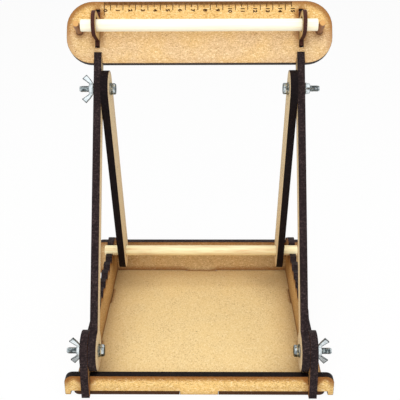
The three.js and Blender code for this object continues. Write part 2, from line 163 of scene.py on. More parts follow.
def noise(tree, place, scale, detail, roughness=0.5):
    node = add_node(tree, "ShaderNodeTexNoise",
                    {"Vector": place, "Scale": scale, "Detail": detail, "Roughness": roughness})
    return node.outputs["Fac"]


# %% [markdown]
# ## Fibre board
# Fibre board is pressed wood pulp. Close up it is a felt of pale and dark fibres about a
# millimetre long that lie in all directions, with cloudy patches and here and there a dark
# fleck. Two noises stretched along different directions make the fibres, and two plain ones
# the felt and the clouds. Noise in object space runs on over every piece and never repeats.

# %% Node group: fibres
FLOAT, COLOUR, VECTOR = "NodeSocketFloat", "NodeSocketColor", "NodeSocketVector"
FELT_SCALE = 0.95
STRAND_SCALE = 0.8
CLOUD_SCALE = 0.045
FLECK_SCALE = 0.5
ONE_WAY = {"Rotation": (0.4, 0.6, 0.7), "Scale": (0.55, 1.8, 1.5)}
OTHER_WAY = {"Rotation": (-0.5, 0.8, -0.6), "Scale": (1.7, 0.5, 1.9)}
STRAND_SHARE = 0.6
TONE_GAIN = 1.9
TONE_SHIFT = -2.09
CLOUD_GAIN = 0.5
MIDDLE_TONE = 0.5
GLINT_FADE = (1.1, 1.26)
FLECK_FADE = (0.77, 0.81)

fibres, given, result = new_group(
    "fibres",
    {"Place": (VECTOR, None), "Contrast": (FLOAT, 1.0)},
    {"Tone": FLOAT, "Glint": FLOAT, "Fleck": FLOAT, "Cloud": FLOAT, "Height": FLOAT},
)


def strand_noise(direction):
    turned = add_node(fibres, "ShaderNodeMapping", {"Vector": given.outputs["Place"], **direction})
    return noise(fibres, turned.outputs["Vector"], STRAND_SCALE, detail=2.0)


felt = noise(fibres, given.outputs["Place"], FELT_SCALE, detail=4.0, roughness=0.8)
strands = maths(fibres, "ADD", strand_noise(ONE_WAY), strand_noise(OTHER_WAY))
clouds = noise(fibres, given.outputs["Place"], CLOUD_SCALE, detail=3.0)
flecks = noise(fibres, given.outputs["Place"], FLECK_SCALE, detail=1.0)
both = maths(fibres, "MULTIPLY_ADD", strands, STRAND_SHARE, felt)
centred = maths(fibres, "MULTIPLY_ADD", both, TONE_GAIN, TONE_SHIFT)
cloudy = maths(fibres, "MULTIPLY_ADD", clouds, CLOUD_GAIN, -CLOUD_GAIN / 2)
contrast = maths(fibres, "MULTIPLY", maths(fibres, "ADD", centred, cloudy), given.outputs["Contrast"])
fibres.links.new(maths(fibres, "ADD", contrast, MIDDLE_TONE), result.inputs["Tone"])
fibres.links.new(fade(fibres, strands, *GLINT_FADE), result.inputs["Glint"])
fibres.links.new(fade(fibres, flecks, *FLECK_FADE), result.inputs["Fleck"])
fibres.links.new(clouds, result.inputs["Cloud"])
fibres.links.new(both, result.inputs["Height"])
print("Group", fibres.name, "has", len(fibres.nodes), "nodes")

# %% [markdown]
# ## Scorch
# The laser burns the board as it cuts. The cut side is nearly black with a brown bloom. On the
# face a thin dark line follows each edge, and a golden brown halo fades out beside it. A fading
# texture painted by hand would have to fit every outline, so the shader finds the edges itself.
# Ambient Occlusion nodes in the material look inwards and see the cut side only from close by:
# a far-reaching one gives the halo and a near one the line. The normal tells cut side from face.

# %% Node group: laser scorch
UNEVENNESS = 0.16
HALO_GAIN = -3.4
HALO_SHIFT = 3.33
HALO_CURVE = 0.65
LINE_FADE = (0.72, 0.5, 0.0, 0.75)
BLOOM_FADE = (0.45, 0.85)
CUT_SIDE_FADE = (0.95, 0.8)
FACE_ROUGHNESS = 0.8
CUT_ROUGHNESS = 0.62

scorch, given, result = new_group(
    "laser_scorch",
    {
        "Face Colour": (COLOUR, (0.7, 0.5, 0.3, 1)), "Halo Colour": (COLOUR, (0.5, 0.3, 0.1, 1)),
        "Burnt Colour": (COLOUR, (0.03, 0.02, 0.02, 1)), "Bloom Colour": (COLOUR, (0.06, 0.04, 0.03, 1)),
        "Line Colour": (COLOUR, (0.1, 0.05, 0.03, 1)), "Openness": (FLOAT, 1.0), "Rim": (FLOAT, 1.0),
        "Faces Out": (FLOAT, 1.0), "Tone": (FLOAT, 0.5), "Strength": (FLOAT, 1.0),
    },
    {"Colour": COLOUR, "Roughness": FLOAT, "Cut Side": FLOAT},
)
uneven = maths(scorch, "MULTIPLY_ADD", given.outputs["Tone"], UNEVENNESS, -UNEVENNESS / 2)
wide_view = maths(scorch, "ADD", given.outputs["Openness"], uneven)
near_view = maths(scorch, "ADD", given.outputs["Rim"], uneven)
nearness = maths(scorch, "MAXIMUM", maths(scorch, "MULTIPLY_ADD", wide_view, HALO_GAIN, HALO_SHIFT), 0.0)
spread = maths(scorch, "MINIMUM", maths(scorch, "POWER", nearness, HALO_CURVE), 1.0)
halo = maths(scorch, "MULTIPLY", spread, given.outputs["Strength"])
haloed = blend_colours(scorch, halo, given.outputs["Face Colour"], given.outputs["Halo Colour"])
line = fade(scorch, near_view, *LINE_FADE)
lined = blend_colours(scorch, line, haloed, given.outputs["Line Colour"])
bloom = fade(scorch, given.outputs["Tone"], *BLOOM_FADE)
burnt = blend_colours(scorch, bloom, given.outputs["Burnt Colour"], given.outputs["Bloom Colour"])
cut_side = fade(scorch, given.outputs["Faces Out"], *CUT_SIDE_FADE)
scorch.links.new(blend_colours(scorch, cut_side, lined, burnt), result.inputs["Colour"])
scorch.links.new(fade(scorch, cut_side, 0.0, 1.0, FACE_ROUGHNESS, CUT_ROUGHNESS),
                 result.inputs["Roughness"])
scorch.links.new(cut_side, result.inputs["Cut Side"])
print("Group", scorch.name, "has", len(scorch.nodes), "nodes")

# %% [markdown]
# One function makes the board material for a plate of any direction. It gets the direction
# across the plate's thickness, because faces that look along it are bare board and all others
# are cut sides. The halo's reach stays a little under the plate's thickness: beyond that the
# node would see right through the plate and darken the whole face. Colours are given as they
# look on a screen, and to_linear undoes the screen's sRGB curve.


# %% Colours of every board
def to_linear(red, green, blue):
    parts = [part / 255 for part in (red, green, blue)]
    linear = [p / 12.92 if p <= 0.04045 else ((p + 0.055) / 1.055) ** 2.4 for p in parts]
    return (*linear, 1.0)


PALE_FIBRE = to_linear(254, 234, 192)
DARK_FIBRE = to_linear(168, 124, 74)
FLECK_BROWN = to_linear(112, 76, 42)
HALO_BROWN = to_linear(134, 80, 34)
LINE_BROWN = to_linear(74, 42, 28)
CORNER_SHADE_BROWN = to_linear(140, 100, 56)
BURNT = to_linear(30, 22, 23)
BURNT_BLOOM = to_linear(76, 61, 60)

# %% [markdown]
# The bare face mixes its own colour with a warmer one in soft clouds, and dark and pale fibres
# and flecks lie over both. Two boards are browner towards their upper edge than towards the lower
# one: browning gives the upward direction, where the change starts and ends, and how strong the
# halo is at its start.

# %% Colour of the bare face
DARK_FADE = (0.52, 0.0, 0.0, 0.85)
PALE_FADE = (0.48, 1.0, 0.0, 0.75)
WARM_FADE = (0.35, 0.65, 0.1, 0.6)
GLINT_STRENGTH = 0.8
FLECK_STRENGTH = 0.7


def bare_face(tree, felt, face_colour, warm_colour, contrast, climb, browning):
    warmth = fade(tree, felt.outputs["Cloud"], *WARM_FADE)
    if browning:
        risen = fade(tree, climb, (browning["start"] + browning["end"]) / 2, browning["end"])
        warmth = maths(tree, "MAXIMUM", warmth, risen)
    dark_side = fade(tree, felt.outputs["Tone"], *DARK_FADE)
    pale_side = fade(tree, felt.outputs["Tone"], *PALE_FADE)
    glint = maths(tree, "MULTIPLY", felt.outputs["Glint"], GLINT_STRENGTH * contrast)
    clouded = blend_colours(tree, warmth, face_colour, warm_colour)
    darker = blend_colours(tree, dark_side, clouded, DARK_FIBRE)
    paler = blend_colours(tree, maths(tree, "MAXIMUM", pale_side, glint), darker, PALE_FIBRE)
    fleck = maths(tree, "MULTIPLY", felt.outputs["Fleck"], FLECK_STRENGTH)
    return blend_colours(tree, fleck, paler, FLECK_BROWN)


# %% [markdown]
# The whole material adds painted shade in the corners where boards meet, a brown darkening where
# shade falls, then the scorch of the laser and a little relief. Board hardly shines, so its specular
# level is low, and the burnt sides stay brown instead of grey. An Ambient Occlusion node says how
# open the space around a point is, inside the piece or outside it, and that is how edges, grooves
# and corners are found.


# %% Helpers for materials
def new_material(name):
    material = bpy.data.materials.new(name)
    material.use_nodes = True
    return material, material.node_tree, material.node_tree.nodes["Principled BSDF"]


def dot(tree, vector, direction):
    node = add_node(tree, "ShaderNodeVectorMath", {0: vector, 1: direction}, operation="DOT_PRODUCT")
    return node.outputs["Value"]


def place_in_mm(tree, where):
    node = add_node(tree, "ShaderNodeMapping",
                    {"Vector": where.outputs["Object"], "Scale": (1 / MM, 1 / MM, 1 / MM)})
    return node.outputs["Vector"]


def add_relief(tree, shader, height, strength, depth):
    bump = add_node(tree, "ShaderNodeBump", {"Height": height, "Strength": strength, "Distance": depth})
    tree.links.new(bump.outputs["Normal"], shader.inputs["Normal"])


def openness(tree, distance, samples, inside, only_local=True):
    node = add_node(tree, "ShaderNodeAmbientOcclusion", {"Distance": distance}, samples=samples,
                    inside=inside, only_local=only_local)
    return node.outputs["AO"]


# %% Board material
BOARD_SHEEN = 0.1
LINE_WIDTH = 1.1 * MM
CORNER_FADE = (0.95, 0.4)
HALO_SAMPLES = 16
LINE_SAMPLES = 8
FELT_RELIEF = 0.08 * MM


def board_material(name, across, face_colour, warm_colour, contrast, halo_width, halo_strength,
                   corner_shade_strength=0, corner_shade_reach=0, burnt=BURNT, bloom=BURNT_BLOOM, browning=None):
    material, tree, shader = new_material(name)
    shader.inputs["Specular IOR Level"].default_value = BOARD_SHEEN
    where = add_node(tree, "ShaderNodeTexCoord")
    felt = add_node(tree, "ShaderNodeGroup", node_tree=fibres)
    tree.links.new(place_in_mm(tree, where), felt.inputs["Place"])
    felt.inputs["Contrast"].default_value = contrast
    climb = dot(tree, where.outputs["Object"], browning["upwards"]) if browning else None
    face = bare_face(tree, felt, face_colour, warm_colour, contrast, climb, browning)
    # Painted shade: the face is blended towards brown near other boards, where shade falls in the
    # corners.
    if corner_shade_strength:
        corner = openness(tree, corner_shade_reach, HALO_SAMPLES, inside=False, only_local=False)
        face = blend_colours(tree, fade(tree, corner, *CORNER_FADE, 0.0, corner_shade_strength), face, CORNER_SHADE_BROWN)
    burn = add_node(tree, "ShaderNodeGroup", node_tree=scorch)
    for title, value in {
        "Face Colour": face, "Tone": felt.outputs["Tone"],
        "Openness": openness(tree, halo_width, HALO_SAMPLES, inside=True),
        "Rim": openness(tree, LINE_WIDTH, LINE_SAMPLES, inside=True),
        "Faces Out": maths(tree, "ABSOLUTE", dot(tree, where.outputs["Normal"], across)),
    }.items():
        tree.links.new(value, burn.inputs[title])
    burn.inputs["Halo Colour"].default_value = HALO_BROWN
    burn.inputs["Line Colour"].default_value = LINE_BROWN
    burn.inputs["Burnt Colour"].default_value = burnt
    burn.inputs["Bloom Colour"].default_value = bloom
    burn.inputs["Strength"].default_value = halo_strength
    if browning:
        rising = fade(tree, climb, browning["start"], browning["end"], browning["least"], halo_strength)
        tree.links.new(rising, burn.inputs["Strength"])
    tree.links.new(burn.outputs["Colour"], shader.inputs["Base Color"])
    tree.links.new(burn.outputs["Roughness"], shader.inputs["Roughness"])
    add_relief(tree, shader, felt.outputs["Height"], strength=0.3, depth=FELT_RELIEF)
    return material


# %% [markdown]
# The boards of the frame are pale and beige and have narrow halos, and the struts' cut sides are
# the blackest. The rails are browner, partly their own colour and partly painted shade for their
# shaded inner faces. The small ears are brown too, and their cut sides reddish.

# %% Materials of frame, struts, rails and ears
ACROSS_X = (1, 0, 0)
FRAME_BEIGE = to_linear(236, 216, 178)
FRAME_WARM = to_linear(232, 204, 158)
SOOT_BLACK = to_linear(15, 9, 11)

frame_board = board_material(
    "frame_board", ACROSS_X, FRAME_BEIGE, FRAME_WARM, contrast=0.6, halo_width=1.6 * MM,
    halo_strength=0.5)
strut_board = board_material(
    "strut_board", ACROSS_X, FRAME_BEIGE, FRAME_WARM, contrast=0.6, halo_width=1.6 * MM,
    halo_strength=0.5, burnt=SOOT_BLACK, bloom=to_linear(38, 27, 29))
# The rails' darker colour and wide halo are partly painted shade for their shaded inner faces.
rail_shaded_board = board_material(
    "rail_shaded_board", ACROSS_X, to_linear(204, 168, 114), to_linear(206, 160, 96), contrast=0.7,
    halo_width=5 * MM, halo_strength=0.75, corner_shade_strength=0.55, corner_shade_reach=30 * MM)
ear_board = board_material(
    "ear_board", ACROSS_X, to_linear(206, 180, 128), to_linear(204, 172, 114), contrast=0.6,
    halo_width=1.5 * MM, halo_strength=0.5, burnt=to_linear(66, 38, 32), bloom=to_linear(92, 56, 46))
print("Board materials:", [m.name for m in (frame_board, strut_board, rail_shaded_board, ear_board)])

# %% [markdown]
# The front board and the head board are the golden ones, with wide halos that grow upwards. The
# floor is half as thick, so its halo is half as wide, and it has the most painted shade in the
# corners below the walls.

# %% Materials of tray and head board
ACROSS_Y = (0, 1, 0)
ACROSS_Z = (0, 0, 1)
THICK_HALO = 5.8 * MM
THIN_HALO = 2.9 * MM
HEAD_START = 225.6 * MM
HEAD_HEIGHT = 50.6 * MM
BROWNED_SHARE = 0.7
head_foot = lower_bolt.dot(upward) + HEAD_START

front_face = board_material(
    "front_face", ACROSS_Y, to_linear(234, 198, 128), to_linear(232, 186, 108), contrast=0.85,
    halo_width=THICK_HALO, halo_strength=0.9, corner_shade_strength=0.45, corner_shade_reach=7 * MM,
    burnt=SOOT_BLACK, bloom=to_linear(34, 25, 22),
    browning={"upwards": ACROSS_Z, "start": 3 * MM, "end": 14 * MM, "least": 0.05})
# Painted shade: the rear board's face colour is darker than the front board's, for the lesser light it
# gets.
rear_face_shaded = board_material(
    "rear_face_shaded", ACROSS_Y, to_linear(212, 184, 136), to_linear(208, 168, 110), contrast=0.7,
    halo_width=THICK_HALO, halo_strength=0.7, corner_shade_strength=0.12, corner_shade_reach=30 * MM)
floor_board = board_material(
    "floor_board", ACROSS_Z, to_linear(236, 208, 152), to_linear(232, 200, 138), contrast=0.6,
    halo_width=THIN_HALO, halo_strength=0.6, corner_shade_strength=0.42, corner_shade_reach=42 * MM,
    burnt=to_linear(66, 42, 25), bloom=to_linear(92, 60, 36))
head_face = board_material(
    "head_face", tuple(forward), to_linear(221, 189, 146), to_linear(222, 180, 110), contrast=0.75,
    halo_width=THICK_HALO, halo_strength=0.8,
    browning={"upwards": tuple(upward), "start": head_foot, "end": head_foot + BROWNED_SHARE * HEAD_HEIGHT,
           "least": 0.15})
print("More of them:", [m.name for m in (front_face, rear_face_shaded, floor_board, head_face)])

# %% [markdown]
# ## Boards
# The CAD plates have the right outline, but their edges are mathematically sharp and their
# faces are loose triangles. Each is copied, its doubles are merged, its flat areas become
# single faces, and a bevel of a sixth of a millimetre gives the edges the small glint that
# real edges have. The copy then stands for the CAD piece. Blender's operators work on what is
# selected, and the import leaves all CAD pieces selected, so each step first selects only its own.


# %% Helpers for one piece
def select_only(*objects):
    bpy.ops.object.select_all(action="DESELECT")
    for item in objects:
        item.select_set(True)
    bpy.context.view_layer.objects.active = objects[0]


def add_modifier(piece, kind, **settings):
    modifier = piece.modifiers.new(kind.lower(), kind)
    for name, value in settings.items():
        setattr(modifier, name, value)
    select_only(piece)
    bpy.ops.object.modifier_apply(modifier=modifier.name)


def smooth(piece, degrees):
    select_only(piece)
    bpy.ops.object.shade_smooth_by_angle(angle=math.radians(degrees))


def triangle_count(piece):
    return sum(len(face.vertices) - 2 for face in piece.data.polygons)


# %% Dressed boards
EDGE_BEVEL = 0.16 * MM
MERGE_WITHIN = 0.002 * MM
FLAT_WITHIN = math.radians(0.5)
SHARP_FROM = math.radians(30)


def dressed_board(node_name, body, material):
    board = bpy.data.objects.new(node_name + "_cut", frame["nodes"][node_name].data.copy())
    bpy.context.scene.collection.objects.link(board)
    select_only(board)
    bpy.ops.object.mode_set(mode="EDIT")
    bpy.ops.mesh.select_all(action="SELECT")
    bpy.ops.mesh.remove_doubles(threshold=MERGE_WITHIN)
    bpy.ops.mesh.dissolve_limited(angle_limit=FLAT_WITHIN)
    bpy.ops.object.mode_set(mode="OBJECT")
    add_modifier(board, "BEVEL", width=EDGE_BEVEL, segments=1, limit_method="ANGLE",
                 angle_limit=SHARP_FROM)
    smooth(board, 20)
    board.data.materials.clear()
    board.data.materials.append(material)
    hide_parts(node_name)
    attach(board, body)
    return board


boards = [dressed_board("floor_panel", "base", floor_board),
          dressed_board("front_board", "base", front_face),
          dressed_board("rear_board", "base", rear_face_shaded),
          dressed_board("head_board", "frame", head_face)]
for side in ("left", "right"):
    boards += [dressed_board("rail_" + side, "base", rail_shaded_board),
               dressed_board("upright_" + side, "frame", frame_board),
               dressed_board("ear_" + side, "frame", ear_board),
               dressed_board("strut_" + side, "strut_frame", strut_board)]
print("Dressed", len(boards), "boards with", sum(map(triangle_count, boards)), "triangles")

# %% [markdown]
# ## The burnt-in scale
# The laser also draws a centimetre scale along the top edge of the head board: millimetre
# lines, longer lines at each half and a number at each whole centimetre, turned to be read
# from the side. One tick is modelled for each kind and an Array modifier repeats it. The
# marks are drawn flat on the face first, in the board's own left, up and out directions. They
# are then moved to the board, and the move is applied, so that their place is in their mesh as
# it is in the CAD pieces.


# %% Helpers for joining and placing
def join(name, *pieces):
    select_only(*pieces)
    bpy.ops.object.join()
    whole = bpy.context.view_layer.objects.active
    whole.name = name
    return whole


def place(piece, matrix):
    piece.matrix_world = matrix
    bpy.context.view_layer.update()
    select_only(piece)
    bpy.ops.object.transform_apply(location=True, rotation=True, scale=True)


# %% Ticks of the scale
HALF_BOARD = 3 * MM
SCALE_ZERO = -76.2 * MM
SCALE_LENGTH = 15
CENTIMETRE = 10 * MM
MARK_DEPTH = 0.04 * MM
TICK_WIDTH = 0.6 * MM
TOP_MARGIN = 0.5 * MM
MILLIMETRE_TICK = 2.4 * MM
WHOLE_TICK = 4.4 * MM
HALF_TICK = 6.8 * MM
ZERO_TICK = 10.8 * MM

face_place = (
    Matrix.Translation(lower_bolt) @ lean_turn
    @ Matrix.Translation((0, -HALF_BOARD, HEAD_START + HEAD_HEIGHT))
    @ Matrix.Rotation(math.pi / 2, 4, "X")
)


def ticks(name, start, length, count, spacing):
    bpy.ops.mesh.primitive_plane_add(size=1)
    tick = bpy.context.active_object
    tick.name = name
    bpy.ops.object.mode_set(mode="EDIT")
    bpy.ops.transform.resize(value=(TICK_WIDTH, length, 1))
    bpy.ops.transform.translate(value=(start, -TOP_MARGIN - length / 2, 0))
    bpy.ops.mesh.extrude_region_move(TRANSFORM_OT_translate={"value": (0, 0, MARK_DEPTH)})
    bpy.ops.mesh.select_all(action="SELECT")
    bpy.ops.mesh.normals_make_consistent(inside=False)
    bpy.ops.object.mode_set(mode="OBJECT")
    if count > 1:
        add_modifier(tick, "ARRAY", count=count, use_relative_offset=False, use_constant_offset=True,
                     constant_offset_displace=(spacing, 0, 0))
    return tick


scale_ticks = join(
    "scale_ticks",
    ticks("millimetres", SCALE_ZERO, MILLIMETRE_TICK, SCALE_LENGTH * 10 + 1, CENTIMETRE / 10),
    ticks("wholes", SCALE_ZERO + CENTIMETRE, WHOLE_TICK, SCALE_LENGTH, CENTIMETRE),
    ticks("halves", SCALE_ZERO + CENTIMETRE / 2, HALF_TICK, SCALE_LENGTH, CENTIMETRE),
    ticks("zero", SCALE_ZERO, ZERO_TICK, 1, CENTIMETRE),
)
place(scale_ticks, face_place)
print("Ticks of the scale:", triangle_count(scale_ticks), "triangles")

# %% [markdown]
# The numbers are text objects turned a quarter clockwise. Text becomes a mesh before its
# place is applied.

# %% Numbers of the scale
NUMBER_SIZE = 4.2 * MM
NUMBER_DROP = 7.3 * MM
NUMBER_SHIFT = 0.75 * MM
NUMBER_BOLDNESS = 0.2 * MM

numbers = []
for value in range(SCALE_LENGTH + 1):
    bpy.ops.object.text_add()
    label = bpy.context.active_object
    label.data.body = str(value)
    label.data.size = NUMBER_SIZE
    label.data.align_x = "CENTER"
    label.data.align_y = "CENTER"
    label.data.extrude = MARK_DEPTH / 2
    label.data.offset = NUMBER_BOLDNESS
    label.data.resolution_u = 4
    select_only(label)
    bpy.ops.object.convert(target="MESH")
    label.location = (SCALE_ZERO + value * CENTIMETRE + NUMBER_SHIFT, -NUMBER_DROP, MARK_DEPTH / 2)
    label.rotation_euler = (0, 0, -math.pi / 2)
    bpy.ops.object.transform_apply(location=True, rotation=True, scale=True)
    numbers.append(label)
scale_numbers = join("scale_numbers", *numbers)
place(scale_numbers, face_place)
print("Numbers of the scale:", triangle_count(scale_numbers), "triangles")

# %% [markdown]
# Burnt marks are dark brown and matt, a little lighter in patches of a millimetre.

# %% Material of the scale
PATCHES_PER_METRE = 900.0
PATCH_FADE = (0.35, 0.65)
BURN_BROWN = to_linear(34, 15, 9)
PATCH_BROWN = to_linear(70, 34, 18)

scale_burn, tree, shader = new_material("scale_burn")
where = add_node(tree, "ShaderNodeTexCoord")
patchy = noise(tree, where.outputs["Object"], PATCHES_PER_METRE, detail=2.0)
tint = blend_colours(tree, fade(tree, patchy, *PATCH_FADE), BURN_BROWN, PATCH_BROWN)
tree.links.new(tint, shader.inputs["Base Color"])
shader.inputs["Roughness"].default_value = FACE_ROUGHNESS
shader.inputs["Specular IOR Level"].default_value = BOARD_SHEEN
for marks in (scale_ticks, scale_numbers):
    marks.data.materials.clear()
    marks.data.materials.append(scale_burn)
    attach(marks, "frame")
print("The marks ride on the frame in", scale_burn.name)

# %% [markdown]
# ## Dowels and pegs
# The dowels are pale birch. The grain runs along them in fine streaks, and the sawn ends are
# a little darker. An image of wood would show its seam, so two noises stretched along the axis
# make the streaks, and the normal tells the ends from the round side.

# %% Node group: birch
FINE_SCALE = 1.6
BROAD_SCALE = 0.4
FINE_FADE = (0.45, 0.75)
BROAD_FADE = (0.4, 0.75)
FINE_STREAKS = 0.35
BROAD_STREAKS = 0.4
END_FADE = (0.6, 0.9)

birch, given, result = new_group(
    "birch",
    {"Place": (VECTOR, None), "Pale": (COLOUR, (0.9, 0.8, 0.6, 1)),
     "Streak": (COLOUR, (0.7, 0.55, 0.35, 1)), "End Grain": (COLOUR, (0.6, 0.42, 0.25, 1)),
     "Faces Along": (FLOAT, 0.0)},
    {"Colour": COLOUR, "Height": FLOAT},
)
fine = noise(birch, given.outputs["Place"], FINE_SCALE, detail=3.0)
broad = noise(birch, given.outputs["Place"], BROAD_SCALE, detail=2.0)
streaks = maths(birch, "ADD",
                maths(birch, "MULTIPLY", fade(birch, fine, *FINE_FADE), FINE_STREAKS),
                maths(birch, "MULTIPLY", fade(birch, broad, *BROAD_FADE), BROAD_STREAKS))
grained = blend_colours(birch, streaks, given.outputs["Pale"], given.outputs["Streak"])
end = fade(birch, given.outputs["Faces Along"], *END_FADE)
birch.links.new(blend_colours(birch, end, grained, given.outputs["End Grain"]), result.inputs["Colour"])
birch.links.new(fine, result.inputs["Height"])
print("Group", birch.name, "has", len(birch.nodes), "nodes")

# %% [markdown]
# The working dowel is painted nearly white, painted light for the strong light on it; the rear one
# is yellower with darker streaks. The pegs' round sides are painted dark brown as shade, with paler
# ends. The scale of the noise is far smaller along the grain than across it, which draws it out
# into streaks.

# %% Birch materials
ACROSS_GRAIN = 1000
ALONG_DOWEL = 40
ALONG_PEG = 240
GRAIN_RELIEF = 0.1 * MM


def birch_material(name, axis, squeeze, pale, streak, end_grain):
    material, tree, shader = new_material(name)
    shader.inputs["Roughness"].default_value = 0.55
    where = add_node(tree, "ShaderNodeTexCoord")
    stretched = add_node(tree, "ShaderNodeMapping", {"Vector": where.outputs["Object"], "Scale": squeeze})
    wood = add_node(tree, "ShaderNodeGroup", node_tree=birch)
    tree.links.new(stretched.outputs["Vector"], wood.inputs["Place"])
    tree.links.new(maths(tree, "ABSOLUTE", dot(tree, where.outputs["Normal"], axis)),
                   wood.inputs["Faces Along"])
    wood.inputs["Pale"].default_value = pale
    wood.inputs["Streak"].default_value = streak
    wood.inputs["End Grain"].default_value = end_grain
    tree.links.new(wood.outputs["Colour"], shader.inputs["Base Color"])
    add_relief(tree, shader, wood.outputs["Height"], strength=0.2, depth=GRAIN_RELIEF)
    return material


dowel_squeeze = (ALONG_DOWEL, ACROSS_GRAIN, ACROSS_GRAIN)
# Painted light: the front dowel's birch is given a whiter colour than the rear dowel's, for the strong
# light on it.
front_dowel_lit_wood = birch_material(
    "front_dowel_lit_wood", ACROSS_X, dowel_squeeze, pale=to_linear(253, 249, 228),
    streak=to_linear(250, 238, 200), end_grain=to_linear(228, 202, 156))
rear_dowel_wood = birch_material(
    "rear_dowel_wood", ACROSS_X, dowel_squeeze, pale=to_linear(255, 246, 200),
    streak=to_linear(222, 160, 98), end_grain=to_linear(214, 172, 120))
# Painted shade: the pegs' round sides are dark brown, their ends paler.
peg_shaded_wood = birch_material(
    "peg_shaded_wood", tuple(forward), (ACROSS_GRAIN, ALONG_PEG, ACROSS_GRAIN), pale=to_linear(150, 108, 80),
    streak=to_linear(108, 70, 50), end_grain=to_linear(206, 156, 92))
print("Birch materials:", [m.name for m in (front_dowel_lit_wood, rear_dowel_wood, peg_shaded_wood)])

# %% [markdown]
# Each bar starts as a cylinder of 64 sides at the CAD size. The edges of its ends are beveled
# in edit mode to the worn round that sanding leaves. A face is chosen by the direction it looks
# in. The first bar, the front dowel, enters edit mode while Blender still selects points, which
# picks its long edges too. They are beveled as well, and it gets faces that overlap. Every later
# piece enters in face mode, with only the chosen faces selected.


# %% Helpers for choosing faces
NEARLY_STRAIGHT = 0.9


def choose_faces(piece, wanted):
    bpy.ops.object.mode_set(mode="OBJECT")
    for edge in piece.data.edges:
        edge.select = False
    for point in piece.data.vertices:
        point.select = False
    for face in piece.data.polygons:
        face.select = wanted(face)
    bpy.ops.object.mode_set(mode="EDIT")
    bpy.ops.mesh.select_mode(type="FACE")


def is_end(face):
    return abs(face.normal.z) > NEARLY_STRAIGHT


def bevel_around(piece, wanted, width, segments):
    choose_faces(piece, wanted)
    bpy.ops.mesh.bevel(offset=width, segments=segments, affect="EDGES")
    bpy.ops.object.mode_set(mode="OBJECT")


# %% Dowels and pegs
DOWEL_RADIUS = 4.75 * MM
PEG_RADIUS = 2.5 * MM
PEG_LENGTH = 26 * MM
END_ROUND = 0.5 * MM


def round_bar(name, node_name, body, radius, length, middle, turn, material):
    bpy.ops.mesh.primitive_cylinder_add(vertices=64, radius=radius, depth=length)
    bar = bpy.context.active_object
    bar.name = name
    bevel_around(bar, is_end, END_ROUND, segments=3)
    smooth(bar, 40)
    place(bar, Matrix.Translation(middle) @ turn)
    bar.data.materials.append(material)
    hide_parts(node_name)
    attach(bar, body)
    return bar


along_x = Matrix.Rotation(math.pi / 2, 4, "Y")
for node_name, body, wood in (("front_dowel", "front_dowel", front_dowel_lit_wood),
                              ("rear_dowel", "strut_frame", rear_dowel_wood)):
    low, high = (Vector(corner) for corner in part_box(node_name))
    round_bar(node_name + "_birch", node_name, body, DOWEL_RADIUS, high.x - low.x, (low + high) / 2,
              along_x, wood)
along_forward = lean_turn @ Matrix.Rotation(math.pi / 2, 4, "X")
for side in ("left", "right"):
    node_name = "peg_" + side
    low, high = (Vector(corner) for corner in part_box(node_name))
    round_bar(node_name + "_birch", node_name, "frame", PEG_RADIUS, PEG_LENGTH, (low + high) / 2,
              along_forward, peg_shaded_wood)
print("Two dowels and two pegs turned")

# %% [markdown]
# ## Zinc plate
# Bolts, washers and wing nuts are steel with bright zinc: a slightly blue metal that is duller
# where it was handled. Painted shade makes it nearly black in the grooves. The shader finds the
# grooves with an Ambient Occlusion node that looks outwards. On the wing nuts a second one looks
# inwards and paints shade on the rims, which keeps the thin wings' outlines crisp against a white
# background, and so does a dark tint at glancing angles.

# %% Node group: zinc
WORN_SCALE = 0.5
WORN_FADE = (0.35, 0.65)
PIT_SCALE = 3.0
GROOVE_FADE = (0.5, 0.1, 0.0, 0.7)
RIM_FADE = (0.96, 0.7, 0.0, 0.95)

zinc, given, result = new_group(
    "zinc_plate",
    {"Place": (VECTOR, None), "Bright": (COLOUR, (0.7, 0.75, 0.78, 1)),
     "Dull": (COLOUR, (0.5, 0.55, 0.6, 1)), "Painted Shade": (COLOUR, (0.03, 0.03, 0.03, 1)),
     "Openness": (FLOAT, 1.0), "Depth": (FLOAT, 1.0), "Smoothest": (FLOAT, 0.2),
     "Roughest": (FLOAT, 0.4)},
    {"Colour": COLOUR, "Roughness": FLOAT, "Height": FLOAT},
)
worn = fade(zinc, noise(zinc, given.outputs["Place"], WORN_SCALE, detail=3.0), *WORN_FADE)
# Painted shade: grooves and rims are blended towards a near-black colour.
groove_and_rim_shade = maths(zinc, "MAXIMUM", fade(zinc, given.outputs["Openness"], *GROOVE_FADE),
              fade(zinc, given.outputs["Depth"], *RIM_FADE))
plated = blend_colours(zinc, worn, given.outputs["Bright"], given.outputs["Dull"])
zinc.links.new(blend_colours(zinc, groove_and_rim_shade, plated, given.outputs["Painted Shade"]), result.inputs["Colour"])
span = maths(zinc, "SUBTRACT", given.outputs["Roughest"], given.outputs["Smoothest"])
zinc.links.new(maths(zinc, "MULTIPLY_ADD", worn, span, given.outputs["Smoothest"]),
               result.inputs["Roughness"])
zinc.links.new(noise(zinc, given.outputs["Place"], PIT_SCALE, detail=2.0), result.inputs["Height"])
print("Group", zinc.name, "has", len(zinc.nodes), "nodes")

# %% [markdown]
# Turned bolts are smooth and all metal. Cast wing nuts are rougher, and partly matt, which
# lights their flat wings from every side.

# %% Zinc materials
GLANCING_TINT = to_linear(70, 78, 80)
PAINTED_SHADE_BLACK = to_linear(38, 40, 38)
GROOVE_SAMPLES = 8
PIT_RELIEF = 0.1 * MM


